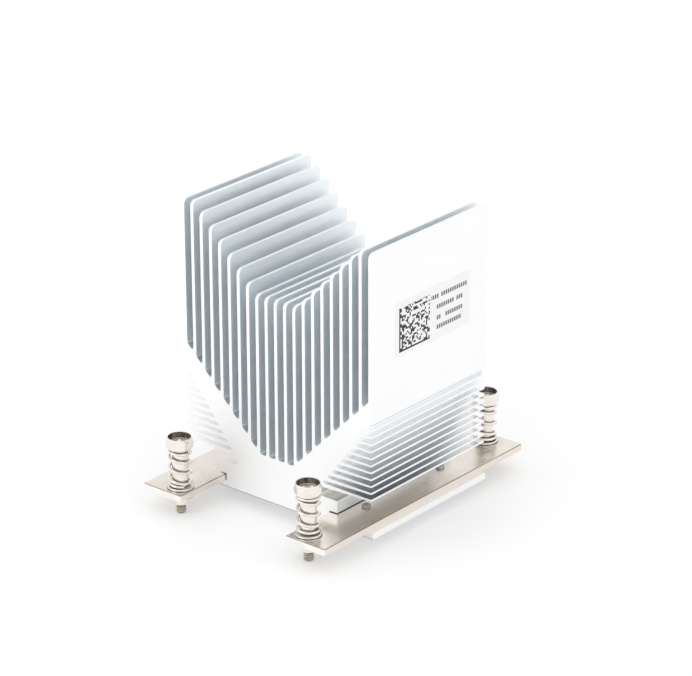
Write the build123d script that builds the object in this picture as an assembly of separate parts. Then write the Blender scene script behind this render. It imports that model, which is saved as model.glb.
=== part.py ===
from build123d import *
import math
import os

os.makedirs("parts", exist_ok=True)

# Millimetres. The origin is the middle of the flat contact face, +Z points up through the fins,
# and the profile of the extrusion lies in X-Z and runs along Y.

# Extrusion: length, fins and the valley in their tops
extrusion_length = 60.0
fin_span = 80.8
overall_height = 99.5
fin_thickness = 1.25
slot_count = 20
valley_height = 73.4
valley_half_width = 8.8
fin_end_radius = 2.0

# Extrusion: V-shaped floor of the upright slots
slot_floor_height = 16.4
slot_floor_half_width = 7.3
slot_root_radius = 0.65

# Extrusion: level fins below the arms, flat on top and tapered underneath towards their tips
side_slot_count = 11
side_fin_pitch = 2.47
side_fin_tip_thickness = 0.65
side_fin_taper = 0.038
side_slot_first_height = 14.05
side_slot_first_root = 19.7
side_root_slope = 1.3
side_slot_root_radius = 0.4
side_slot_root_share = 0.45

# Extrusion: block, neck, bracket grooves and foot
block_half_width = 26.0
block_height = 9.2
block_corner_radius = 0.5
neck_half_width = 16.8
neck_corner_radius = 0.8
groove_depth = 3.4
foot_half_width = 41.2
foot_thickness = 2.25

# Bracket plates, one in each groove
bracket_thickness = 2.3
bracket_width = 16.8
bracket_length = 105.5
bracket_corner_radius = 0.8
bracket_edge_radius = 0.5
bracket_groove_gap = 0.3

# Rivets through bracket and foot
rivet_x = 29.8
rivet_y = 19.6
rivet_shank_radius = 1.1
rivet_head_radius = 1.5
rivet_head_height = 0.9
rivet_head_round = 0.3
rivet_tail_radius = 1.6
rivet_tail_depth = 0.5
rivet_clearance = 0.03

# Fastening pattern of the socket
screw_spacing_x = 56.0
screw_spacing_y = 94.0

# Captive screws
head_across_flats = 8.5
head_round_diameter = 9.2
head_height = 4.1
head_chamfer = 0.35
head_rim_radius = 4.18
head_rim_height = 0.85
head_rim_chamfer = 0.15
cup_radius = 3.85
cup_depth = 2.2
recess_turn = 63
recess_span = 4.6
recess_width = 0.95
recess_depth = 1.3
shank_radius = 2.75
shank_length = 18.0
neck_radius = 2.42
neck_length = 2.5
neck_end_chamfer = 0.35
thread_radius = 1.75
thread_length = 3.2
thread_end_chamfer = 0.4
screw_hole_clearance = 0.25

# Spring washers, springs and retaining clips
washer_rim = 0.5
washer_thickness = 0.8
spring_shank_clearance = 0.35
spring_wire_radius = 0.5
spring_closed_pitch = 1.05
spring_active_pitch = 3.9
spring_steps_per_turn = 12
spring_seat_gap = 0.05
clip_outer_radius = 4.5
clip_inner_radius = 3.3
clip_prong_width = 1.7
clip_opening_width = 4.4
clip_thickness = 0.7
clip_groove_radius = 2.0
clip_groove_slack = 0.06
clip_running_clearance = 0.05
clip_plate_gap = 0.05

# Label on the outer face of the right-hand outer fin
label_length = 39.0
label_height = 19.0
label_thickness = 0.12
label_middle_y = 1.5
label_middle_z = 69.5
label_corner_radius = 0.8

# Worked out from the sizes above
fin_pitch = (fin_span - fin_thickness) / slot_count
slot_width = fin_pitch - fin_thickness
groove_roof = foot_thickness + bracket_thickness + bracket_groove_gap
bracket_top = foot_thickness + bracket_thickness
bracket_inner_x = block_half_width - groove_depth + bracket_groove_gap
spring_seat = bracket_top + washer_thickness
spring_coil_radius = shank_radius + spring_shank_clearance + spring_wire_radius
washer_radius = spring_coil_radius + spring_wire_radius + washer_rim
clip_top = foot_thickness - clip_plate_gap
clip_bottom = clip_top - clip_thickness
shank_bottom = clip_bottom - 0.6
head_bottom = shank_bottom + shank_length
head_top = head_bottom + head_height
neck_bottom = shank_bottom - neck_length
tip_bottom = neck_bottom - thread_length
spring_first_z = spring_seat + spring_seat_gap + spring_wire_radius
spring_last_z = head_bottom - spring_seat_gap - spring_wire_radius
spring_rise = spring_last_z - spring_first_z
spring_active_turns = (spring_rise - 2 * spring_closed_pitch) / spring_active_pitch
spring_turns = spring_active_turns + 2

SIDES = {"left": -1, "right": 1}
ENDS = {"front": -1, "rear": 1}

# How far each screw happens to be turned, and where its spring starts, in degrees
HEAD_TURN = {"front_left": -18, "front_right": 27, "rear_left": 12, "rear_right": 40}
SPRING_START = {"front_left": -32, "front_right": 130, "rear_left": 60, "rear_right": 85}


def corners():
    """Yield the name, middle and sides of each of the four fasteners."""
    for end, end_sign in ENDS.items():
        for side, side_sign in SIDES.items():
            x = side_sign * screw_spacing_x / 2
            y = end_sign * screw_spacing_y / 2
            yield f"{end}_{side}", x, y


def profile_face(points):
    """Make a face in the X-Z plane from a closed list of (x, z) points."""
    return make_face(Plane.XZ * Polyline(*points, close=True))


def turned(points):
    """Turn a closed list of (radius, height) points round Z."""
    return revolve(profile_face(points), Axis.Z)


def rounded(face, points, radius):
    """Round the face's corners that lie at the given (x, z) points."""
    picked = [
        vertex
        for vertex in face.vertices()
        for x, z in points
        if math.hypot(vertex.X - x, vertex.Z - z) < 0.01
    ]
    return fillet(picked, radius)


def fin_top(x):
    """Height of the upright fin at x: a level valley with flanks at 45 degrees."""
    return min(overall_height, valley_height + max(0.0, abs(x) - valley_half_width))


def slot_floor(x):
    """Height of the floor of the upright slots at x, level in the middle, then at 45 degrees."""
    return slot_floor_height + max(0.0, abs(x) - slot_floor_half_width)


def side_slot_root(z):
    """Distance from the middle to the root of a level slot at height z."""
    return side_slot_first_root + (z - side_slot_first_height) / side_root_slope


def side_fin_underside(top, x):
    """Height of a level fin's underside at this distance from the middle."""
    return top - side_fin_tip_thickness - side_fin_taper * (fin_span / 2 - x)


def outline():
    """Outline of the profile before its slots are cut."""
    half = fin_span / 2
    groove_x = block_half_width - groove_depth
    lowest_fin = [
        (x, side_fin_underside(side_slot_first_height, x)) for x in (half, side_slot_first_root)
    ]
    right = [
        (half, overall_height),
        *lowest_fin,
        (neck_half_width, block_height),
        (block_half_width, block_height),
        (block_half_width, groove_roof),
        (groove_x, groove_roof),
        (groove_x, foot_thickness),
        (foot_half_width, foot_thickness),
        (foot_half_width, 0),
    ]
    left = [(-x, z) for x, z in reversed(right)]
    face = profile_face(right + left)
    for sign in (-1, 1):
        face = rounded(face, [(sign * block_half_width, block_height)], block_corner_radius)
        face = rounded(face, [(sign * neck_half_width, block_height)], neck_corner_radius)
    return face


def upright_slot(index):
    """One upright slot, with a floor that follows the V and rounded root corners."""
    middle = (index - (slot_count - 1) / 2) * fin_pitch
    left = middle - slot_width / 2
    right = middle + slot_width / 2
    root = [(left, slot_floor(left)), (right, slot_floor(right))]
    above = overall_height + fin_pitch
    face = profile_face([*root, (right, above), (left, above)])
    return rounded(face, root, slot_root_radius)


def side_slot(index, sign):
    """One level slot, open at the side, with its root on the slope of the arm."""
    low = side_slot_first_height + index * side_fin_pitch
    next_top = low + side_fin_pitch
    low_root = side_slot_root(low)
    high_root = side_slot_root(side_fin_underside(next_top, low_root))
    outside = fin_span / 2 + fin_pitch
    root = [(sign * low_root, low), (sign * high_root, side_fin_underside(next_top, high_root))]
    mouth = [(sign * outside, side_fin_underside(next_top, outside)), (sign * outside, low)]
    radius = min(side_slot_root_radius, side_slot_root_share * (root[1][1] - low))
    return rounded(profile_face(root + mouth), root, radius)


def fin_column(index):
    """The space above one upright fin that is lower than the outer ones."""
    middle = (index - slot_count / 2) * fin_pitch
    low = fin_top(middle)
    high = overall_height + fin_pitch
    left = middle - fin_pitch / 2
    right = middle + fin_pitch / 2
    return profile_face([(left, low), (right, low), (right, high), (left, high)])


def heatsink_extrusion():
    """The finned extrusion with its foot, drilled for the rivets."""
    face = outline()
    for index in range(slot_count):
        face -= upright_slot(index)
    for index in range(slot_count + 1):
        if fin_top((index - slot_count / 2) * fin_pitch) < overall_height:
            face -= fin_column(index)
    for sign in SIDES.values():
        for index in range(side_slot_count):
            face -= side_slot(index, sign)
    body = extrude(face, amount=extrusion_length / 2, both=True)
    fin_ends = [
        edge
        for edge in body.edges().filter_by(Axis.X)
        if edge.center().Z > valley_height - fin_end_radius
        and abs(edge.center().Y) > extrusion_length / 2 - 0.01
    ]
    body = fillet(fin_ends, fin_end_radius)
    for x, y in rivet_places():
        body -= Pos(x, y, 0) * rivet_hole()
    return body


def rivet_places():
    """The middles of the four rivets."""
    return [(sx * rivet_x, sy * rivet_y) for sx in SIDES.values() for sy in ENDS.values()]


def rivet_hole():
    """Drilled hole through foot and bracket, countersunk for the rivet's tail."""
    radius = rivet_shank_radius + rivet_clearance
    hole = Pos(0, 0, bracket_top / 2) * Cylinder(radius, bracket_top + 2)
    tail = Cone(rivet_tail_radius + rivet_clearance, radius, rivet_tail_depth)
    return hole + Pos(0, 0, rivet_tail_depth / 2) * tail


def rivet():
    """Rivet with a button head on the bracket and a flush tail in the foot."""
    shank = Pos(0, 0, bracket_top / 2) * Cylinder(rivet_shank_radius, bracket_top)
    tail = Pos(0, 0, rivet_tail_depth / 2) * Cone(
        rivet_tail_radius, rivet_shank_radius, rivet_tail_depth
    )
    head = Pos(0, 0, bracket_top + rivet_head_height / 2) * Cylinder(
        rivet_head_radius, rivet_head_height
    )
    head = fillet(head.edges().group_by(Axis.Z)[-1], rivet_head_round)
    return shank + tail + head


def bracket(sign):
    """Flat bracket plate with two screw holes and two rivet holes."""
    middle_x = sign * (bracket_inner_x + bracket_width / 2)
    plate = Pos(middle_x, 0, foot_thickness + bracket_thickness / 2) * Box(
        bracket_width, bracket_length, bracket_thickness
    )
    plate = fillet(plate.edges().filter_by(Axis.Z), bracket_corner_radius)
    plate = fillet(plate.faces().sort_by(Axis.Z)[-1].edges(), bracket_edge_radius)
    for end_sign in ENDS.values():
        y = end_sign * screw_spacing_y / 2
        hole = Cylinder(shank_radius + screw_hole_clearance, 4 * bracket_thickness)
        plate -= Pos(sign * screw_spacing_x / 2, y, bracket_top) * hole
        plate -= Pos(sign * rivet_x, end_sign * rivet_y, 0) * rivet_hole()
    return plate


def screw_head():
    """Hexagonal head with a turned rim above its flats, a cup and a cross recess."""
    hexagon = extrude(
        RegularPolygon(head_across_flats / 2, 6, major_radius=False), amount=head_height
    )
    outer_radius = head_round_diameter / 2
    rim_bottom = head_height - head_rim_height
    head = hexagon & turned([
        (0, 0),
        (outer_radius - head_chamfer, 0),
        (outer_radius, head_chamfer),
        (outer_radius, rim_bottom - head_chamfer),
        (head_rim_radius, rim_bottom),
        (head_rim_radius, head_height - head_rim_chamfer),
        (head_rim_radius - head_rim_chamfer, head_height),
        (0, head_height),
    ])
    cup = Pos(0, 0, head_height - cup_depth / 2) * Cylinder(cup_radius, cup_depth)
    head -= cup
    recess_middle = head_height - cup_depth - recess_depth / 2
    for turn in (recess_turn, recess_turn + 90):
        head -= Pos(0, 0, recess_middle) * Rot(0, 0, turn) * Box(
            recess_span, recess_width, recess_depth
        )
    return head


def captive_screw(name):
    """Captive screw in one piece: head, shank with clip groove, neck and thread blank."""
    head = Pos(0, 0, head_bottom) * Rot(0, 0, HEAD_TURN[name]) * screw_head()
    shank = Pos(0, 0, shank_bottom + shank_length / 2) * Cylinder(shank_radius, shank_length)
    neck = Pos(0, 0, neck_bottom + neck_length / 2) * Cylinder(neck_radius, neck_length)
    neck = chamfer(neck.edges().group_by(Axis.Z)[0], neck_end_chamfer)
    thread = Pos(0, 0, tip_bottom + thread_length / 2) * Cylinder(thread_radius, thread_length)
    thread = chamfer(thread.edges().group_by(Axis.Z)[0], thread_end_chamfer)
    groove_height = clip_thickness + clip_groove_slack
    groove = Cylinder(shank_radius + 1, groove_height) - Cylinder(clip_groove_radius, groove_height)
    groove = Pos(0, 0, clip_bottom + clip_thickness / 2) * groove
    return head + shank + neck + thread - groove


def spring_washer():
    """Flat washer between bracket and spring."""
    hole_radius = shank_radius + screw_hole_clearance
    ring = Cylinder(washer_radius, washer_thickness) - Cylinder(hole_radius, washer_thickness)
    return Pos(0, 0, bracket_top + washer_thickness / 2) * ring


def spring_height(turns):
    """Height of the wire's middle after a number of turns, the first and last ones closed."""
    lower_end = min(turns, 1.0)
    active = min(max(turns - 1.0, 0.0), spring_active_turns)
    upper_end = max(turns - 1.0 - spring_active_turns, 0.0)
    closed = spring_closed_pitch * (lower_end + upper_end)
    return spring_first_z + closed + spring_active_pitch * active


def compression_spring(name):
    """Left-hand compression spring, as a tube along short runs joined by tangent arcs."""
    count = math.ceil(spring_turns * spring_steps_per_turn)
    half_step = math.pi / spring_steps_per_turn
    corner_radius = spring_coil_radius / math.cos(half_step)
    start = math.radians(SPRING_START[name])
    points = []
    for index in range(count + 1):
        angle = start - 2 * half_step * index
        height = spring_height(min(index / spring_steps_per_turn, spring_turns))
        points.append((corner_radius * math.cos(angle), corner_radius * math.sin(angle), height))
    run = 2 * corner_radius * math.sin(half_step)
    path = FilletPolyline(*points, radius=0.45 * run / math.tan(half_step))
    section = Plane(origin=path @ 0, z_dir=path % 0) * Circle(spring_wire_radius)
    return sweep(section, path=path)


def retaining_clip():
    """Flat open clip with three prongs that sits in the screw's groove."""
    ring = Circle(clip_outer_radius) - Circle(clip_inner_radius)
    reach = clip_inner_radius + 0.3
    for turn in (0, 90, 180):
        ring += Rot(0, 0, turn) * Pos(reach / 2, 0) * Rectangle(reach, clip_prong_width)
    ring -= Circle(clip_groove_radius + clip_running_clearance)
    opening = Rectangle(clip_opening_width, clip_outer_radius)
    ring -= Pos(0, -clip_prong_width / 2 - clip_outer_radius / 2) * opening
    return Pos(0, 0, clip_bottom) * extrude(ring, amount=clip_thickness)


def label():
    """Thin sticker on the outer face of the right-hand outer fin."""
    plane = Plane(
        origin=(fin_span / 2, label_middle_y, label_middle_z), x_dir=(0, 1, 0), z_dir=(1, 0, 0)
    )
    sheet = RectangleRounded(label_length, label_height, label_corner_radius)
    return extrude(plane * sheet, amount=label_thickness)


def write(name, shape):
    """Write one node's STEP file."""
    shape.label = name
    export_step(shape, f"parts/{name}.step")


write("heatsink_extrusion", heatsink_extrusion())
for side, sign in SIDES.items():
    write(f"bracket_{side}", bracket(sign))
    for end, end_sign in ENDS.items():
        write(f"rivet_{end}_{side}", Pos(sign * rivet_x, end_sign * rivet_y, 0) * rivet())
for corner, x, y in corners():
    write(f"captive_screw_{corner}", Pos(x, y, 0) * captive_screw(corner))
    write(f"spring_washer_{corner}", Pos(x, y, 0) * spring_washer())
    write(f"spring_{corner}", Pos(x, y, 0) * compression_spring(corner))
    write(f"retaining_clip_{corner}", Pos(x, y, 0) * retaining_clip())
write("label", label())
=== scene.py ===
import math

import bpy
from mathutils import Matrix, Vector


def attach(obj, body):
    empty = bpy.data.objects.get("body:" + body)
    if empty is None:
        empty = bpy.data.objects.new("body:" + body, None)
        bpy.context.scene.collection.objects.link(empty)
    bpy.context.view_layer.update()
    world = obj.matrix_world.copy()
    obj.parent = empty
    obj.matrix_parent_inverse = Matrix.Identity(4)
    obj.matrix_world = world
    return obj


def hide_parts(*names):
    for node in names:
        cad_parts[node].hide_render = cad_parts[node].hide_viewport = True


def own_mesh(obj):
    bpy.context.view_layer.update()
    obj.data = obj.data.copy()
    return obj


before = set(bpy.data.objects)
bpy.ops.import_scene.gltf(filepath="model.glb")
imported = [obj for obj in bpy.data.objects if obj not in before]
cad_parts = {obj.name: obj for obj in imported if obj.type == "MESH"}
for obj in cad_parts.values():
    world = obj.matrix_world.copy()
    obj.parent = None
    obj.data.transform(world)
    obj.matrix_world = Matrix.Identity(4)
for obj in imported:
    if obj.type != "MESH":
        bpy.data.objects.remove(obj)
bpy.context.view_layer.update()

# Lengths are in metres, in the frame of the CAD model.
MM = 0.001

# Camera, as solved from the photograph
CAMERA_TARGET = Vector((-28.18, 39.83, 30.0)) * MM
CAMERA_DISTANCE = 1139.5 * MM
CAMERA_AZIMUTH = math.radians(39.775)
CAMERA_ELEVATION = math.radians(22.88)
CAMERA_ROLL = math.radians(-0.178)
CAMERA_LENS = 169.35
SENSOR_WIDTH = 36.0

# Fasteners
SCREW_X = 28.0 * MM
SCREW_Y = 47.0 * MM
HEAD_FLAT = 4.25 * MM
HEAD_ROUND = 4.6 * MM
HEAD_BOTTOM = 18.9 * MM
HEAD_TOP = 23.0 * MM
HEAD_CHAMFER = 0.35 * MM
HEAD_RIM_RADIUS = 4.18 * MM
HEAD_RIM_HEIGHT = 0.85 * MM
HEAD_RIM_ROUND = 0.12 * MM
HEAD_RING_RADIUS = 4.1 * MM
HEAD_RING_HEIGHT = 0.35 * MM
HEAD_RING_CHAMFER = 0.1 * MM
CUP_RADIUS = 3.85 * MM
CUP_DEPTH = 2.2 * MM
CUP_CHAMFER = 0.1 * MM
CUP_FILLET = 0.35 * MM
CUP_FLOOR_EDGE = 0.5 * MM
RECESS_TURN = math.radians(63)
RECESS_SPAN = 4.6 * MM
RECESS_WIDTH = 0.95 * MM
RECESS_DEPTH = 1.3 * MM
RECESS_END_SLOPE = 1.0 * MM
RECESS_SIDE_SLOPE = 0.2 * MM
SHANK_RADIUS = 2.75 * MM
SHANK_BOTTOM = 0.9 * MM
SHANK_CHAMFER = 0.15 * MM
CLIP_GROOVE_RADIUS = 2.0 * MM
CLIP_GROOVE_LOW = 1.47 * MM
CLIP_GROOVE_HIGH = 2.23 * MM
NECK_RADIUS = 2.42 * MM
NECK_BOTTOM = -1.6 * MM
NECK_CHAMFER = 0.35 * MM
THREAD_RADIUS = 1.75 * MM
THREAD_DEPTH = 0.36 * MM
THREAD_PITCH = 0.6 * MM
THREAD_STEP = 0.05 * MM
THREAD_STOP = 0.2 * MM
THREAD_RUNOUT = 0.15 * MM
RIDGE_HEIGHT = 1.25
RIDGE_SLOPE = 3.2
TIP_BOTTOM = -4.8 * MM
TIP_CHAMFER = 0.5 * MM
SCREW_SEGMENTS = 96
HEAD_STEPS = 24
RIM_STEPS = 4
CUP_STEPS = 40

# Springs
SPRING_RADIUS = 3.6 * MM
WIRE_RADIUS = 0.5 * MM
SPRING_FIRST_Z = 5.9 * MM
SPRING_LAST_Z = 18.35 * MM
SPRING_CLOSED_PITCH = 1.05 * MM
SPRING_ACTIVE_PITCH = 3.9 * MM
SPRING_STEPS = 48
WIRE_SEGMENTS = 20

# Washers and rivets
WASHER_LOW = 4.55 * MM
WASHER_HIGH = 5.35 * MM
WASHER_RADIUS = 4.6 * MM
WASHER_HOLE = 3.0 * MM
WASHER_ROUND = 0.18 * MM
RIVET_X = 29.8 * MM
RIVET_Y = 19.6 * MM
RIVET_SHANK = 1.1 * MM
RIVET_HEAD = 1.5 * MM
RIVET_HEAD_HEIGHT = 0.9 * MM
RIVET_TAIL = 1.6 * MM
RIVET_TAIL_DEPTH = 0.5 * MM
RIVET_SEGMENTS = 64
BRACKET_HIGH = 4.55 * MM

# Label print; the last four values are shares of 1
CODE_MIDDLE = (-8.1 * MM, 69.0 * MM)
CODE_SIZE = (15.8 * MM, 15.4 * MM)
CODE_CELLS = 24
TEXT_LINES = (
    (10.0 * MM, 75.0 * MM, 19.0 * MM),
    (10.2 * MM, 71.2 * MM, 13.5 * MM),
    (10.1 * MM, 67.4 * MM, 13.7 * MM),
    (9.8 * MM, 64.1 * MM, 13.3 * MM),
)
TEXT_HEIGHT = 1.5 * MM
LETTER_PITCH = 1.15 * MM
LETTER_WIDTH = 0.72
LETTER_GAPS = 0.12
CODE_BLANKS = 0.54
BAR_DARKNESS = 0.85

# Root line of the level slots, and where their walls end
LEVEL_ROOT = 8.9 * MM
LEVEL_ROOT_LEAN = 0.769
LEVEL_TIP = 40.2 * MM
LEVEL_LOW = 10.0 * MM
LEVEL_HIGH = 38.0 * MM
LEVEL_FADE = 0.5 * MM
LEVEL_ROOT_FADE = (-0.8 * MM, -0.4 * MM)
MASK_FADE = 0.1 * MM

# Hollow between the block and the lowest level fins, where shade is painted into the colour
HOLLOW_LOW = 9.4 * MM
HOLLOW_HIGH = 13.6 * MM

# Painted shade in the creases between the fasteners' parts, and the painted reflection of the screws
# round them
CREASE_SHADE = (0.10, 0.075, 0.055)
CREASE_REACH = 0.7 * MM
CREASE_OPEN = 0.65
CREASE_SHUT = 0.25
SCREW_REFLECTION_REACH = 7.5 * MM

# Colours, alone or as a dark and a pale one
FLANKS = ((0.905, 0.94, 0.96), (0.93, 0.955, 0.97))
LEVEL_FACES = (0.97, 0.975, 0.98)
# Painted shade in the hollow under the lowest level fins
HOLLOW_SHADE = (0.84, 0.825, 0.80)
# Sawn ends with a paler finish of their own, and outer faces painted paler as light
OUTER_FACES = ((0.94, 0.943, 0.945), (0.965, 0.967, 0.968))
# Painted shade line along the bottom edge of the extrusion's ends
BOTTOM_EDGE_SHADE = (0.16, 0.16, 0.16)
PLATE_FLAT = ((0.79, 0.74, 0.68), (0.845, 0.80, 0.745))
PLATE_SPOTS = (0.62, 0.58, 0.52)
PLATE_SHEARED = ((0.78, 0.70, 0.63), (0.92, 0.86, 0.80))
PLATE_FRONTS = (0.94, 0.915, 0.885)
# Painted shade line on the plates' rounded top edges
PLATE_EDGE_SHADE = (0.30, 0.235, 0.18)
# Painted reflection of the screws in the plates round them
PLATE_SCREW_REFLECTION = (0.50, 0.41, 0.34)
SCREW = ((0.84, 0.795, 0.73), (0.92, 0.885, 0.83))
SCREW_THREAD = ((0.50, 0.43, 0.37), (0.74, 0.69, 0.63))
# Painted shade on the cup's wall
CUP_WALL_SHADE = ((0.10, 0.083, 0.075), (0.34, 0.29, 0.26))
# Painted light on the cup's floor, against the shade of its wall
CUP_FLOOR_LIGHT = (0.96, 0.94, 0.90)
RIVET_STEEL = ((0.34, 0.32, 0.29), (0.56, 0.53, 0.49))
WASHER_NICKEL = ((0.68, 0.675, 0.66), (0.79, 0.785, 0.77))
SPRING_WIRE = ((0.78, 0.73, 0.68), (0.90, 0.86, 0.82))
CLIP = ((0.34, 0.33, 0.32), (0.52, 0.50, 0.48))
LABEL_FILM = ((0.98, 0.988, 0.995), (0.985, 0.99, 0.998))
INK = (0.006, 0.006, 0.007)

# Roughness, as one value or the lowest and the highest
FLANK_ROUGHNESS = (0.52, 0.62)
SLOT_ROUGHNESS = (0.16, 0.24)
LEVEL_ROUGHNESS = (0.14, 0.22)
SAWN_ROUGHNESS = (0.58, 0.68)
PLATE_ROUGHNESS = (0.20, 0.28)
NEAR_SCREW_ROUGHNESS = 0.12
SHEAR_ROUGHNESS = (0.28, 0.45)
SCREW_ROUGHNESS = (0.12, 0.24)
CUP_ROUGHNESS = 0.4
TURNED_SPREAD = 0.12
CLIP_ROUGHNESS = (0.25, 0.42)
FILM_ROUGHNESS = (0.42, 0.55)
INK_ROUGHNESS = 0.3

# Noise: the range that it mostly fills, and its stretch on turned parts
NOISE_RANGE = (0.3, 0.7)
ROUND_AXIS = (0.15, 0.15, 1.0)
RING_BUMP = 0.004 * MM

# Stage; the deep fin slots need more bounces between metal faces than the default
WORLD_LIGHT = 1.0
FLOOR_DARK = (0.72, 0.72, 0.72)
FLOOR_PALE = (0.76, 0.76, 0.76)
FLOOR_GLOW = 0.27
FLOOR_REACH = 3.0
FLOOR_GAP = 0.01 * MM
KEY_PLACE = (-0.5, -1.3, 0.6)
KEY_POWER = 3.0
SIDE_PLACE = (1.4, 0.1, 0.5)
SIDE_POWER = 0.9
SOFTBOX_SIZE = 0.9
SOFTBOX_AIM = (0.0, 0.0, 0.04)
METAL_BOUNCES = 24

EDGE_WIDTH = 0.12 * MM
CLIP_EDGE_WIDTH = 0.08 * MM
BOTTOM_SHADE_HEIGHT = 0.2 * MM
SMOOTH_ANGLE = math.radians(35)

HEAD_TURN = {"front_left": -18, "front_right": 27, "rear_left": 12, "rear_right": 40}
SPRING_START = {"front_left": -32, "front_right": 130, "rear_left": 60, "rear_right": 85}
SIDES = {"left": -1, "right": 1}
ENDS = {"front": -1, "rear": 1}


class Graph:
    """The node tree of a material or world, built one socket at a time."""

    def __init__(self, owner):
        self.material = bpy.data.materials.new(owner) if isinstance(owner, str) else owner
        self.material.use_nodes = True
        self.tree = self.material.node_tree
        self.tree.nodes.clear()
        self.place = self.node("TexCoord").outputs["Object"]
        self.facing = self.node("TexCoord").outputs["Normal"]

    def set(self, socket, value):
        """Link the socket to another one, or give it a constant."""
        if isinstance(value, bpy.types.NodeSocket):
            self.tree.links.new(value, socket)
        else:
            socket.default_value = value

    def node(self, kind, links=None, **settings):
        """Add a shader node with these settings and inputs."""
        made = self.tree.nodes.new("ShaderNode" + kind)
        for key, value in settings.items():
            setattr(made, key, value)
        for key, value in (links or {}).items():
            self.set(made.inputs[key], value)
        return made

    def math(self, operation, *values):
        """One scalar operation."""
        return self.node("Math", dict(enumerate(values)), operation=operation).outputs[0]

    def part(self, vector, axis):
        """One coordinate of a vector."""
        return self.node("SeparateXYZ", {0: vector}).outputs[axis]

    def between(self, value, low, high, out_low=0.0, out_high=1.0):
        """Map the value from one range to another, clamped."""
        links = {0: value, 1: low, 2: high, 3: out_low, 4: out_high}
        return self.node("MapRange", links).outputs[0]

    def spread(self, noise, out_low=0.0, out_high=1.0):
        """Map a noise from the range that it mostly fills to another one."""
        return self.between(noise, *NOISE_RANGE, out_low, out_high)

    def draw(self, vector):
        """A number from 0 to 1, the same each time for the same vector."""
        return self.node("TexWhiteNoise", {"Vector": vector}).outputs["Value"]

    def noise(self, scale, detail=3.0, stretch=(1.0, 1.0, 1.0)):
        """Noise with its features this many times per metre, stretched along the axes."""
        mapped = self.node("Mapping", {"Vector": self.place, "Scale": stretch}).outputs[0]
        links = {"Vector": mapped, "Scale": scale, "Detail": detail}
        return self.node("TexNoise", links).outputs[0]

    def mix(self, factor, first, second):
        """Blend two colours."""
        links = {0: factor, 6: (*first, 1.0) if isinstance(first, tuple) else first}
        links[7] = (*second, 1.0) if isinstance(second, tuple) else second
        return self.node("Mix", links, data_type="RGBA").outputs[2]

    def blend(self, factor, first, second):
        """Blend two numbers."""
        return self.node("Mix", {0: factor, 2: first, 3: second}, data_type="FLOAT").outputs[0]

    def bump(self, height, distance, strength=1.0):
        """A normal from a height between 0 and 1 that stands for this many metres."""
        links = {"Height": height, "Distance": distance, "Strength": strength}
        return self.node("Bump", links).outputs[0]

    def creases(self, reach):
        """1 deep in a crease or a narrow gap, 0 where nothing is nearer than the reach."""
        open_sky = self.node("AmbientOcclusion", {"Distance": reach}, samples=8).outputs["AO"]
        return self.between(open_sky, CREASE_OPEN, CREASE_SHUT)

    def from_screw_axis(self):
        """Distance from the axis of the nearest screw."""
        x = self.math("SUBTRACT", self.math("ABSOLUTE", self.part(self.place, 0)), SCREW_X)
        y = self.math("SUBTRACT", self.math("ABSOLUTE", self.part(self.place, 1)), SCREW_Y)
        flat = self.node("CombineXYZ", {0: x, 1: y}).outputs[0]
        return self.node("VectorMath", {0: flat}, operation="LENGTH").outputs["Value"]

    def surface(self, **inputs):
        """End the material in one principled shader."""
        names = {key.replace("_", " ").title(): value for key, value in inputs.items()}
        shader = self.node("BsdfPrincipled", names)
        self.node("OutputMaterial", {"Surface": shader.outputs[0]})
        return self.material


def level_slots(g):
    """1 on the walls at the back of the level slots, 0 elsewhere on the extrusion."""
    x = g.math("ABSOLUTE", g.part(g.place, 0))
    height = g.part(g.place, 2)
    root = g.math("MULTIPLY_ADD", height, LEVEL_ROOT_LEAN, LEVEL_ROOT)
    outside = g.between(g.math("SUBTRACT", x, root), *LEVEL_ROOT_FADE)
    inside = g.between(x, LEVEL_TIP, LEVEL_TIP - MASK_FADE)
    above = g.between(height, LEVEL_LOW, LEVEL_LOW + LEVEL_FADE)
    below = g.between(height, LEVEL_HIGH + LEVEL_FADE, LEVEL_HIGH)
    return g.math("MULTIPLY", g.math("MULTIPLY", above, below), g.math("MULTIPLY", inside, outside))


def hollow(g):
    """1 on the faces under the lowest level fins, where shade is painted, 0 elsewhere on the extrusion.
    """
    height = g.part(g.place, 2)
    above = g.between(height, HOLLOW_LOW, HOLLOW_LOW + MASK_FADE)
    below = g.between(height, HOLLOW_HIGH + MASK_FADE, HOLLOW_HIGH)
    return g.math("MULTIPLY", above, below)


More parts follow.
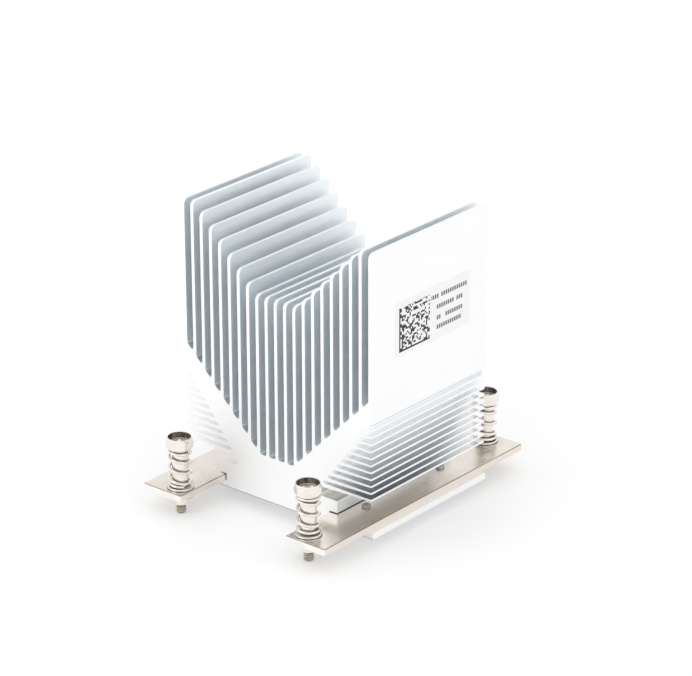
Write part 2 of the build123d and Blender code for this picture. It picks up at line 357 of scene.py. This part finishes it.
def aluminium():
    """Bare extrusion: die lines on its flanks, smoother level faces, saw marks on its sawn ends; painted
    shade in the hollow under the lowest level fins and along the bottom edge of the ends, and painted
    light on the outer faces.
    """
    g = Graph("bare_aluminium")
    ends = g.between(g.math("ABSOLUTE", g.part(g.facing, 1)), 0.6, 0.8)
    level = g.between(g.math("ABSOLUTE", g.part(g.facing, 2)), 0.6, 0.8)
    outer = g.between(g.math("ABSOLUTE", g.part(g.place, 0)), LEVEL_TIP, LEVEL_TIP + MASK_FADE)
    # Painted shade line along the bottom edge of the ends
    bottom_shade = g.math("MULTIPLY", ends, g.between(g.part(g.place, 2), BOTTOM_SHADE_HEIGHT, 0.6 * BOTTOM_SHADE_HEIGHT))
    die_lines = g.noise(3500.0, 4.0, (1.0, 0.006, 1.0))
    saw_marks = g.noise(2600.0, 3.0, (0.02, 1.0, 1.0))
    clouds = g.noise(60.0, 2.0)
    lines = g.blend(ends, die_lines, saw_marks)
    paleness = g.spread(g.math("MULTIPLY_ADD", lines, 0.5, g.math("MULTIPLY", clouds, 0.5)))
    colour = g.mix(paleness, *FLANKS)
    colour = g.mix(level, colour, LEVEL_FACES)
    # Painted shade in the hollow under the lowest level fins
    colour = g.mix(hollow(g), colour, HOLLOW_SHADE)
    # Paler sawn ends (their own finish) and outer faces (painted light)
    colour = g.mix(g.math("MAXIMUM", ends, outer), colour, g.mix(paleness, *OUTER_FACES))
    colour = g.mix(bottom_shade, colour, BOTTOM_EDGE_SHADE)
    rough = g.spread(die_lines, *FLANK_ROUGHNESS)
    rough = g.blend(level_slots(g), rough, g.spread(die_lines, *SLOT_ROUGHNESS))
    rough = g.blend(level, rough, g.spread(die_lines, *LEVEL_ROUGHNESS))
    rough = g.blend(ends, rough, g.spread(saw_marks, *SAWN_ROUGHNESS))
    normal = g.bump(lines, 0.012 * MM, 0.6)
    return g.surface(base_color=colour, metallic=1.0, roughness=rough, normal=normal)


def nickel_plate():
    """Plated sheet: satin-bright on top, with a painted reflection of each screw round it and smoother
    there, painted shade on its rounded top edge, sheared and duller at its edge.
    """
    g = Graph("nickel_plate")
    slope = g.math("ABSOLUTE", g.part(g.facing, 2))
    edge = g.between(slope, 0.85, 0.5)
    fronts = g.between(g.math("ABSOLUTE", g.part(g.facing, 1)), 0.5, 0.8)
    rolled = g.math("MULTIPLY", g.between(slope, 0.985, 0.9), g.between(slope, 0.3, 0.6))
    # Round each screw: painted reflection in the colour, and lower roughness
    near_screws = g.between(g.from_screw_axis(), SCREW_REFLECTION_REACH, WASHER_RADIUS)
    rolling = g.noise(900.0, 3.0, (1.0, 0.05, 1.0))
    waves = g.noise(90.0, 1.0)
    shear = g.noise(2500.0, 2.0, (1.0, 1.0, 0.08))
    spots = g.between(g.noise(700.0, 5.0), 0.58, 0.72)
    flat = g.mix(g.between(waves, 0.35, 0.65), *PLATE_FLAT)
    flat = g.mix(g.math("MULTIPLY", spots, 0.25), flat, PLATE_SPOTS)
    sheared = g.mix(fronts, g.mix(shear, *PLATE_SHEARED), PLATE_FRONTS)
    colour = g.mix(edge, flat, sheared)
    # Painted shade line on the rounded top edge
    colour = g.mix(g.math("MULTIPLY", rolled, 0.85), colour, PLATE_EDGE_SHADE)
    # Painted reflection of the screw round each one
    colour = g.mix(g.math("MULTIPLY", near_screws, 0.15), colour, PLATE_SCREW_REFLECTION)
    rough = g.blend(near_screws, g.spread(rolling, *PLATE_ROUGHNESS), NEAR_SCREW_ROUGHNESS)
    rough = g.blend(edge, rough, g.spread(shear, *SHEAR_ROUGHNESS))
    flat_height = g.math("MULTIPLY_ADD", waves, 3.0, g.math("MULTIPLY", rolling, 0.05))
    normal = g.bump(g.blend(edge, flat_height, shear), 0.01 * MM, 0.5)
    return g.surface(base_color=colour, metallic=1.0, roughness=rough, normal=normal)


def turned_colour(g, rings, clouds, colours):
    """Blend two colours by the rings and the clouds of a turned part."""
    tone = g.math("MULTIPLY_ADD", rings, 0.4, g.math("MULTIPLY", clouds, 0.6))
    return g.mix(g.between(tone, 0.35, 0.65), *colours)


def turned_nickel(name, colours, roughness, ring_size):
    """Plated turned part, with fine rings round its axis and painted shade in its creases."""
    g = Graph(name)
    rings = g.noise(ring_size, 2.0, ROUND_AXIS)
    colour = turned_colour(g, rings, g.noise(350.0, 3.0), colours)
    # Painted shade in the creases and narrow gaps
    colour = g.mix(g.creases(CREASE_REACH), colour, CREASE_SHADE)
    rough = g.spread(rings, roughness, roughness + TURNED_SPREAD)
    normal = g.bump(rings, RING_BUMP, 0.6)
    return g.surface(base_color=colour, metallic=1.0, roughness=rough, normal=normal)


def screw_nickel():
    """The screws: plated and bright outside, with painted shade on the cup's wall and in their creases,
    painted light on the cup's floor, and brown on the thread.
    """
    g = Graph("nickel_screw")
    height = g.part(g.place, 2)
    upright = g.between(g.math("ABSOLUTE", g.part(g.facing, 2)), 0.7, 0.4)
    inside = g.between(g.from_screw_axis(), CUP_RADIUS + 0.1 * MM, CUP_RADIUS + 0.03 * MM)
    in_cup = g.between(height, HEAD_TOP - CUP_DEPTH, HEAD_TOP - CUP_DEPTH + 0.2 * MM)
    wall = g.math("MULTIPLY", upright, g.math("MULTIPLY", inside, in_cup))
    in_head = g.math("MULTIPLY", inside, g.between(height, HEAD_BOTTOM, HEAD_BOTTOM + 0.1 * MM))
    cup_floor = g.math("MULTIPLY", in_head, g.math("SUBTRACT", 1.0, upright))
    thread = g.between(height, NECK_BOTTOM + 0.05 * MM, NECK_BOTTOM - 0.05 * MM)
    # Painted shade in the creases, left out of the head's cup
    crease_shade = g.math("MULTIPLY", g.creases(CREASE_REACH), g.math("SUBTRACT", 1.0, in_head))
    rings = g.noise(6000.0, 2.0, ROUND_AXIS)
    clouds = g.noise(350.0, 3.0)
    streaks = g.noise(900.0, 4.0, (1.0, 1.0, 0.25))
    colour = turned_colour(g, rings, clouds, SCREW)
    # Painted shade on the cup's wall
    colour = g.mix(wall, colour, g.mix(g.between(streaks, 0.35, 0.65), *CUP_WALL_SHADE))
    colour = g.mix(thread, colour, g.mix(g.between(clouds, 0.35, 0.65), *SCREW_THREAD))
    colour = g.mix(crease_shade, colour, CREASE_SHADE)
    # Painted light on the cup's floor
    colour = g.mix(cup_floor, colour, CUP_FLOOR_LIGHT)
    rough = g.blend(cup_floor, g.spread(rings, *SCREW_ROUGHNESS), CUP_ROUGHNESS)
    normal = g.bump(rings, RING_BUMP, 0.6)
    return g.surface(base_color=colour, metallic=1.0, roughness=rough, normal=normal)


def clip_steel():
    """Stamped spring steel, darker than the plated parts."""
    g = Graph("clip_steel")
    grain = g.noise(1800.0, 4.0, (1.0, 0.3, 1.0))
    colour = g.mix(g.spread(grain), *CLIP)
    rough = g.spread(grain, *CLIP_ROUGHNESS)
    normal = g.bump(grain, 0.005 * MM, 0.5)
    return g.surface(base_color=colour, metallic=1.0, roughness=rough, normal=normal)


def rectangle(g, y, z, middle_y, middle_z, width, height):
    """1 inside a rectangle on the label, 0 outside."""
    in_y = g.math("LESS_THAN", g.math("ABSOLUTE", g.math("SUBTRACT", y, middle_y)), width / 2)
    in_z = g.math("LESS_THAN", g.math("ABSOLUTE", g.math("SUBTRACT", z, middle_z)), height / 2)
    return g.math("MULTIPLY", in_y, in_z)


def code_block(g, y, z):
    """1 on the ink of the made-up block of squares, 0 elsewhere on the label."""
    cell = CODE_SIZE[0] / CODE_CELLS
    left = CODE_MIDDLE[0] - CODE_SIZE[0] / 2
    low = CODE_MIDDLE[1] - CODE_SIZE[1] / 2
    column = g.math("FLOOR", g.math("DIVIDE", g.math("SUBTRACT", y, left), cell))
    row = g.math("FLOOR", g.math("DIVIDE", g.math("SUBTRACT", z, low), cell))
    drawn = g.draw(g.node("CombineXYZ", {0: column, 1: row}).outputs[0])
    squares = g.math("GREATER_THAN", drawn, CODE_BLANKS)
    frame_y = g.math("LESS_THAN", y, left + cell)
    frame_z = g.math("LESS_THAN", z, low + cell)
    solid = g.math("MAXIMUM", g.math("MAXIMUM", frame_y, frame_z), squares)
    return g.math("MULTIPLY", solid, rectangle(g, y, z, *CODE_MIDDLE, *CODE_SIZE))


def broken_bar(g, y, z, index):
    """1 on the ink of one bar, broken as if into letters, 0 elsewhere on the label."""
    middle_y, middle_z, width = TEXT_LINES[index]
    along = g.math("DIVIDE", y, LETTER_PITCH)
    strokes = g.math("LESS_THAN", g.math("FRACT", along), LETTER_WIDTH)
    drawn = g.draw(g.node("CombineXYZ", {0: g.math("FLOOR", along), 1: float(index)}).outputs[0])
    kept = g.math("GREATER_THAN", drawn, LETTER_GAPS)
    bar = rectangle(g, y, z, middle_y, middle_z, width, TEXT_HEIGHT)
    return g.math("MULTIPLY", g.math("MULTIPLY", bar, strokes), kept)


def label_film():
    """White label film with a made-up block of squares and four broken bars."""
    g = Graph("label_film")
    y = g.part(g.place, 1)
    z = g.part(g.place, 2)
    ink = code_block(g, y, z)
    for index in range(len(TEXT_LINES)):
        ink = g.math("MAXIMUM", ink, g.math("MULTIPLY", broken_bar(g, y, z, index), BAR_DARKNESS))
    fibres = g.noise(1500.0, 4.0)
    colour = g.mix(ink, g.mix(g.spread(fibres), *LABEL_FILM), INK)
    rough = g.blend(ink, g.spread(fibres, *FILM_ROUGHNESS), INK_ROUGHNESS)
    return g.surface(base_color=colour, roughness=rough, normal=g.bump(fibres, 0.004 * MM, 0.4))


def add_mesh(name, points, faces, material):
    """Make a smooth mesh object with sharp edges above the smoothing angle."""
    mesh = bpy.data.meshes.new(name)
    mesh.from_pydata(points, [], faces)
    mesh.shade_smooth()
    mesh.set_sharp_from_angle(angle=SMOOTH_ANGLE)
    mesh.materials.append(material)
    made = bpy.data.objects.new(name, mesh)
    bpy.context.scene.collection.objects.link(made)
    return made


def ring_faces(rings, count, closed=False):
    """Quads between successive rings of points, with flat caps unless they close into a loop."""
    faces = []
    for ring in range(rings if closed else rings - 1):
        low = ring * count
        high = ((ring + 1) % rings) * count
        for index in range(count):
            after = (index + 1) % count
            faces.append((low + index, low + after, high + after, high + index))
    if not closed:
        faces.append(tuple(reversed(range(count))))
        faces.append(tuple(range((rings - 1) * count, rings * count)))
    return faces


def round_rings(profile):
    """Round rings with these radii and heights, each as a function of the angle."""
    return [lambda angle, place=place: place for place in profile]


def skin(name, rings, material, segments=SCREW_SEGMENTS, closed=False):
    """Join rings round Z, each a function from the angle to its radius and height there."""
    points = []
    for ring in rings:
        for index in range(segments):
            angle = 2 * math.pi * index / segments
            radius, height = ring(angle)
            points.append((radius * math.cos(angle), radius * math.sin(angle), height))
    return add_mesh(name, points, ring_faces(len(rings), segments, closed), material)


def hexagon(angle, flat):
    """Radius of a hexagon at this angle, for its distance across from middle to flat."""
    turned = (angle + math.pi / 6) % (math.pi / 3) - math.pi / 6
    return flat / math.cos(math.pi / 6 - abs(turned))


def head_radius(angle, height):
    """Radius of the head's hexagon, with its corners turned off and chamfered at both ends."""
    rim_bottom = HEAD_TOP - HEAD_RIM_HEIGHT
    slope = (HEAD_ROUND - HEAD_RIM_RADIUS) / HEAD_CHAMFER
    top = HEAD_RIM_RADIUS + (rim_bottom - height) * slope
    low = HEAD_RIM_RADIUS + (height - HEAD_BOTTOM - HEAD_RING_HEIGHT) * slope
    return min(hexagon(angle, HEAD_FLAT), HEAD_ROUND, top, low)


def recess_drop(radius, angle):
    """Depth of the cross recess below the cup's floor at this place."""
    x = radius * math.cos(angle - RECESS_TURN)
    y = radius * math.sin(angle - RECESS_TURN)
    from_end = RECESS_SPAN / 2 - max(abs(x), abs(y))
    from_side = RECESS_WIDTH / 2 + RECESS_SIDE_SLOPE / 2 - min(abs(x), abs(y))
    if from_end < 0 or from_side < 0:
        return 0.0
    return RECESS_DEPTH * min(1.0, from_end / RECESS_END_SLOPE) * min(1.0, from_side / RECESS_SIDE_SLOPE)


def thread_radius(angle, height):
    """Radius of the thread at this place on it, with its crests flat and its tip chamfered."""
    phase = (height / THREAD_PITCH - angle / (2 * math.pi)) % 1.0
    ridge = min(1.0, max(0.0, RIDGE_HEIGHT - abs(phase - 0.5) * RIDGE_SLOPE))
    radius = THREAD_RADIUS - THREAD_DEPTH * (1.0 - ridge)
    tip = THREAD_RADIUS - TIP_CHAMFER + (height - TIP_BOTTOM)
    return min(radius, tip)


def thread_rings():
    """The thread, from its tip to where it stops under the neck."""
    steps = round((NECK_BOTTOM - TIP_BOTTOM - THREAD_STOP) / THREAD_STEP)
    heights = [TIP_BOTTOM + step * THREAD_STEP for step in range(steps + 1)]
    return [lambda angle, height=height: (thread_radius(angle, height), height) for height in heights]


def shank_rings():
    """Neck, shank with its groove for the clip, and the ring under the head."""
    return round_rings([
        (THREAD_RADIUS - THREAD_DEPTH, NECK_BOTTOM - THREAD_RUNOUT),
        (THREAD_RADIUS - THREAD_DEPTH, NECK_BOTTOM),
        (NECK_RADIUS - NECK_CHAMFER, NECK_BOTTOM),
        (NECK_RADIUS, NECK_BOTTOM + NECK_CHAMFER),
        (NECK_RADIUS, SHANK_BOTTOM),
        (SHANK_RADIUS - SHANK_CHAMFER, SHANK_BOTTOM),
        (SHANK_RADIUS, SHANK_BOTTOM + SHANK_CHAMFER),
        (SHANK_RADIUS, CLIP_GROOVE_LOW),
        (CLIP_GROOVE_RADIUS, CLIP_GROOVE_LOW),
        (CLIP_GROOVE_RADIUS, CLIP_GROOVE_HIGH),
        (SHANK_RADIUS, CLIP_GROOVE_HIGH),
        (SHANK_RADIUS, HEAD_BOTTOM - SHANK_CHAMFER),
        (SHANK_RADIUS + SHANK_CHAMFER, HEAD_BOTTOM),
        (HEAD_RING_RADIUS - HEAD_RING_CHAMFER, HEAD_BOTTOM),
        (HEAD_RING_RADIUS, HEAD_BOTTOM + HEAD_RING_CHAMFER),
        (HEAD_RING_RADIUS, HEAD_BOTTOM + HEAD_RING_HEIGHT),
    ])


def head_rings():
    """The hexagonal head and its round rim."""
    low = HEAD_BOTTOM + HEAD_RING_HEIGHT
    high = HEAD_TOP - HEAD_RIM_HEIGHT
    heights = [low + (high - low) * step / HEAD_STEPS for step in range(HEAD_STEPS + 1)]
    rings = [lambda angle, height=height: (head_radius(angle, height), height) for height in heights]
    rim = []
    for step in range(RIM_STEPS + 1):
        height = HEAD_TOP - HEAD_RIM_ROUND * (1 - step / RIM_STEPS)
        radius = HEAD_RIM_RADIUS - HEAD_RIM_ROUND * (1 - math.sqrt(1 - (step / RIM_STEPS) ** 2))
        rim.append((radius, height))
    return rings + round_rings(rim)


def cup_rings():
    """The cup in the head, with the cross recess in its floor."""
    floor = HEAD_TOP - CUP_DEPTH
    rings = round_rings([
        (CUP_RADIUS + CUP_CHAMFER, HEAD_TOP),
        (CUP_RADIUS, HEAD_TOP - CUP_CHAMFER),
        (CUP_RADIUS, floor + CUP_FILLET),
        (CUP_RADIUS - CUP_CHAMFER, floor + CUP_CHAMFER),
        (CUP_RADIUS - CUP_FILLET, floor),
    ])
    for step in range(CUP_STEPS):
        radius = (CUP_RADIUS - CUP_FLOOR_EDGE) * (1 - step / CUP_STEPS)
        rings.append(lambda angle, radius=radius: (radius, floor - recess_drop(radius, angle)))
    return rings


def screw(name, degrees, material):
    """Captive screw in one piece, turned as the photograph shows it."""
    made = skin(name, thread_rings() + shank_rings() + head_rings() + cup_rings(), material)
    made.data.transform(Matrix.Rotation(math.radians(degrees), 4, "Z"))
    return made


def spring_height(turns, active_turns):
    """Height of the wire's middle after a number of turns, the first and last ones closed."""
    closed = min(turns, 1.0) + max(turns - 1.0 - active_turns, 0.0)
    active = min(max(turns - 1.0, 0.0), active_turns)
    return SPRING_FIRST_Z + SPRING_CLOSED_PITCH * closed + SPRING_ACTIVE_PITCH * active


def spring(name, start, material):
    """Left-hand compression spring with closed ends."""
    rise = SPRING_LAST_Z - SPRING_FIRST_Z
    active_turns = (rise - 2 * SPRING_CLOSED_PITCH) / SPRING_ACTIVE_PITCH
    turns = active_turns + 2
    count = round(turns * SPRING_STEPS)
    points = []
    for step in range(count + 1):
        done = turns * step / count
        angle = math.radians(start) - 2 * math.pi * done
        outward = Vector((math.cos(angle), math.sin(angle), 0.0))
        middle = outward * SPRING_RADIUS
        middle.z = spring_height(done, active_turns)
        for index in range(WIRE_SEGMENTS):
            around = 2 * math.pi * index / WIRE_SEGMENTS
            offset = outward * math.cos(around) + Vector((0, 0, math.sin(around)))
            points.append(middle + offset * WIRE_RADIUS)
    return add_mesh(name, points, ring_faces(count + 1, WIRE_SEGMENTS), material)


def washer(name, material):
    """Flat washer with softly rounded rims."""
    r = WASHER_ROUND
    profile = [
        (WASHER_HOLE, WASHER_LOW),
        (WASHER_RADIUS - r, WASHER_LOW),
        (WASHER_RADIUS, WASHER_LOW + r),
        (WASHER_RADIUS, WASHER_HIGH - r),
        (WASHER_RADIUS - 0.3 * r, WASHER_HIGH - 0.3 * r),
        (WASHER_RADIUS - r, WASHER_HIGH),
        (WASHER_HOLE + r, WASHER_HIGH),
        (WASHER_HOLE, WASHER_HIGH - r),
    ]
    return skin(name, round_rings(profile), material, closed=True)


def rivet(name, material):
    """Rivet with a low head, dimpled by the press, and a flush tail."""
    top = BRACKET_HIGH + RIVET_HEAD_HEIGHT
    profile = [
        (RIVET_TAIL, 0.0),
        (RIVET_SHANK, RIVET_TAIL_DEPTH),
        (RIVET_SHANK, BRACKET_HIGH),
        (RIVET_HEAD - 0.03 * MM, BRACKET_HIGH),
        (RIVET_HEAD, BRACKET_HIGH + 0.08 * MM),
        (RIVET_HEAD, top - 0.3 * MM),
        (RIVET_HEAD - 0.04 * MM, top - 0.18 * MM),
        (RIVET_HEAD - 0.14 * MM, top - 0.06 * MM),
        (RIVET_HEAD - 0.3 * MM, top),
        (RIVET_HEAD - 0.7 * MM, top - 0.02 * MM),
        (RIVET_HEAD - 0.9 * MM, top - 0.12 * MM),
        (0.1 * MM, top - 0.15 * MM),
    ]
    return skin(name, round_rings(profile), material, segments=RIVET_SEGMENTS)


def put(made, x, y, body, node):
    """Move a piece built at the origin to its place, tie it to its body, and hide the CAD node that it
    replaces.
    """
    made.data.transform(Matrix.Translation((x, y, 0.0)))
    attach(made, body)
    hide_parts(node)


def soften(node, width):
    """Round the CAD node's edges a little, so that they catch the light."""
    weld = node.modifiers.new("weld", "WELD")
    weld.merge_threshold = 0.001 * MM
    bevel = node.modifiers.new("bevel", "BEVEL")
    bevel.width = width
    bevel.segments = 2
    bevel.limit_method = "ANGLE"
    bevel.angle_limit = SMOOTH_ANGLE
    bevel.harden_normals = True


def dress(name, material):
    """Give a CAD node this material."""
    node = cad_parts[name]
    node.data.materials.clear()
    node.data.materials.append(material)
    return node


def corners():
    """The name of each corner, with its signs in X and Y."""
    for end, y_sign in ENDS.items():
        for side, x_sign in SIDES.items():
            yield f"{end}_{side}", x_sign, y_sign


def fasteners(screw_metal, washer_metal, wire, clip):
    """The four captive screws with their springs, washers and clips."""
    for corner, x_sign, y_sign in corners():
        x = x_sign * SCREW_X
        y = y_sign * SCREW_Y
        made = screw(f"screw_detail_{corner}", HEAD_TURN[corner], screw_metal)
        put(made, x, y, f"screw_{corner}", f"captive_screw_{corner}")
        made = washer(f"washer_detail_{corner}", washer_metal)
        put(made, x, y, "sink", f"spring_washer_{corner}")
        made = spring(f"spring_detail_{corner}", SPRING_START[corner], wire)
        put(made, x, y, "sink", f"spring_{corner}")
        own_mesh(made)
        soften(dress(f"retaining_clip_{corner}", clip), CLIP_EDGE_WIDTH)


def rivets(material):
    """The four rivets through brackets and foot."""
    for corner, x_sign, y_sign in corners():
        made = rivet(f"rivet_detail_{corner}", material)
        put(made, x_sign * RIVET_X, y_sign * RIVET_Y, "sink", f"rivet_{corner}")


def studio():
    """White surroundings, a pale floor just under the screw tips, and soft lights."""
    bpy.context.scene.world = white_world()
    signs = ((-1, -1), (1, -1), (1, 1), (-1, 1))
    points = [(x * FLOOR_REACH, y * FLOOR_REACH, TIP_BOTTOM) for x, y in signs]
    floor = add_mesh("studio_floor", points, [(0, 1, 2, 3)], floor_paint())
    floor.location.z = -FLOOR_GAP
    softbox("key_light", KEY_PLACE, KEY_POWER)
    softbox("side_light", SIDE_PLACE, SIDE_POWER)


def seen_directly(g):
    """1 for rays from the camera, or by way of a mirror or glass, and 0 for light on the object."""
    path = g.node("LightPath").outputs
    mirrored = g.math("MAXIMUM", path["Is Glossy Ray"], path["Is Transmission Ray"])
    return g.math("MAXIMUM", path["Is Camera Ray"], mirrored)


def white_world():
    """White surroundings, plain as light and full white where they are seen."""
    world = bpy.data.worlds.new("studio")
    g = Graph(world)
    strength = g.blend(seen_directly(g), WORLD_LIGHT, 1.0)
    background = g.node("Background", {"Color": (1.0, 1.0, 1.0, 1.0), "Strength": strength})
    g.node("OutputWorld", {"Surface": background.outputs[0]})
    return world


def floor_paint():
    """Pale floor that is seen as the white of the backdrop, with a faint shadow."""
    g = Graph("floor_paint")
    grain = g.noise(40.0, 2.0)
    colour = g.mix(grain, FLOOR_DARK, FLOOR_PALE)
    paint = g.node("BsdfPrincipled", {"Base Color": colour, "Roughness": 0.8})
    strength = g.math("MULTIPLY", seen_directly(g), FLOOR_GLOW)
    white = g.node("Emission", {"Color": (1.0, 1.0, 1.0, 1.0), "Strength": strength})
    both = g.node("AddShader", {0: paint.outputs[0], 1: white.outputs[0]})
    g.node("OutputMaterial", {"Surface": both.outputs[0]})
    return g.material


def softbox(name, place, power):
    """A square area light that points at the middle of the object."""
    light = bpy.data.lights.new(name, "AREA")
    light.size = SOFTBOX_SIZE
    light.energy = power
    made = bpy.data.objects.new(name, light)
    made.location = place
    aim = Vector(SOFTBOX_AIM) - Vector(place)
    made.rotation_euler = aim.to_track_quat("-Z", "Y").to_euler()
    bpy.context.scene.collection.objects.link(made)


def camera():
    """The photograph's camera."""
    data = bpy.data.cameras.new("camera")
    data.sensor_width = SENSOR_WIDTH
    data.lens = CAMERA_LENS
    data.clip_start = 0.05
    data.clip_end = 20.0
    made = bpy.data.objects.new("camera", data)
    level = math.cos(CAMERA_ELEVATION)
    back = Vector((
        math.sin(CAMERA_AZIMUTH) * level,
        -math.cos(CAMERA_AZIMUTH) * level,
        math.sin(CAMERA_ELEVATION),
    ))
    turned = back.to_track_quat("Z", "Y") @ Matrix.Rotation(CAMERA_ROLL, 4, "Z").to_quaternion()
    made.rotation_mode = "QUATERNION"
    made.rotation_quaternion = turned
    made.location = CAMERA_TARGET + back * CAMERA_DISTANCE
    bpy.context.scene.collection.objects.link(made)
    bpy.context.scene.camera = made


soften(dress("heatsink_extrusion", aluminium()), EDGE_WIDTH)
plate = nickel_plate()
for bracket_side in SIDES:
    dress(f"bracket_{bracket_side}", plate)
dress("label", label_film())
rivets(turned_nickel("rivet_steel", RIVET_STEEL, 0.22, 4000.0))
fasteners(
    screw_nickel(),
    turned_nickel("nickel_washer", WASHER_NICKEL, 0.16, 3000.0),
    turned_nickel("spring_wire", SPRING_WIRE, 0.14, 2500.0),
    clip_steel(),
)
studio()
camera()
bpy.context.scene.view_settings.view_transform = "Standard"
bpy.context.scene.cycles.max_bounces = METAL_BOUNCES
bpy.context.scene.cycles.glossy_bounces = METAL_BOUNCES
